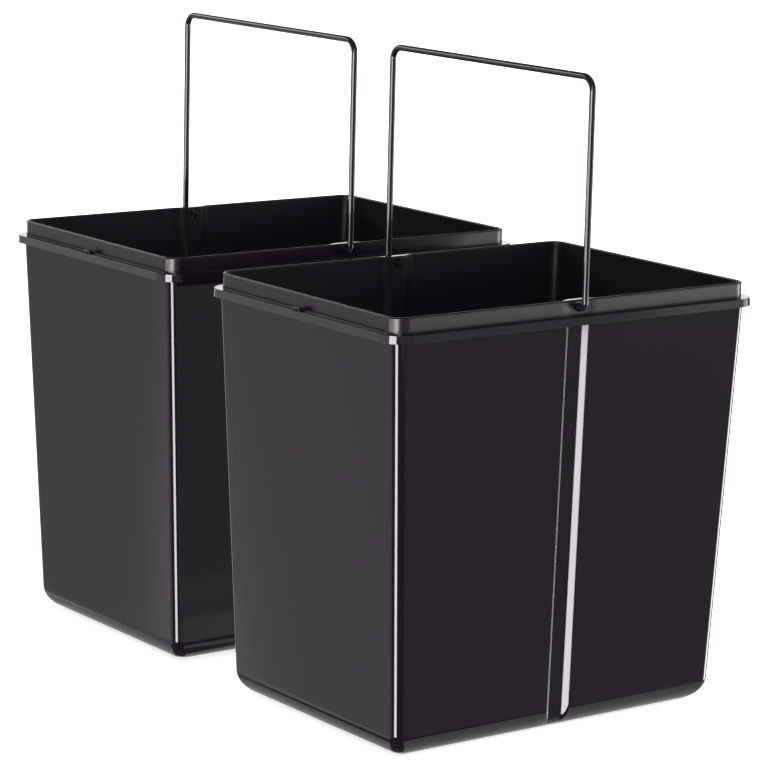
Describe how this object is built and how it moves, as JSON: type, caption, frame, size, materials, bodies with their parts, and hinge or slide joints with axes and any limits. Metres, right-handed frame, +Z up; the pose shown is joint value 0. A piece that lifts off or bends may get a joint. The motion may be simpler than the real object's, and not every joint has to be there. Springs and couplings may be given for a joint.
{
  "type": "pull-out waste buckets",
  "caption": "Tapered black plastic waste buckets for a pull-out kitchen unit, standing in line, each with a flanged collar and a folding bent-wire carrying handle.",
  "frame": {"origin": "on the floor that the buckets stand on, in the middle of the pair", "axes": "+X along the wide side of a bucket, +Y from the front bucket to the rear bucket, +Z up"},
  "size_m": [0.3338, 0.5266, 0.4804],
  "materials": {
    "black_plastic": "injection-moulded black polypropylene, satin to glossy",
    "dark_wire": "steel wire with a smooth dark coating"
  },
  "bodies": {
    "front_bucket": {"front_bucket": "black_plastic"},
    "front_handle": {"front_handle": "dark_wire"},
    "rear_bucket": {"rear_bucket": "black_plastic"},
    "rear_handle": {"rear_handle": "dark_wire"}
  },
  "joints": [
    {"name": "front_handle_swing", "type": "hinge", "parent": "front_bucket", "child": "front_handle", "pos_m": [0, -0.143, 0.31435], "axis": [0, 1, 0], "range_deg": [-90, 90]},
    {"name": "rear_bucket_lift", "type": "slide", "parent": "front_bucket", "child": "rear_bucket", "axis": [0, 0, 1], "range_m": [0, 0.4]},
    {"name": "rear_handle_swing", "type": "hinge", "parent": "rear_bucket", "child": "rear_handle", "pos_m": [0, 0.143, 0.31435], "axis": [0, 1, 0], "range_deg": [-90, 90]}
  ]
}
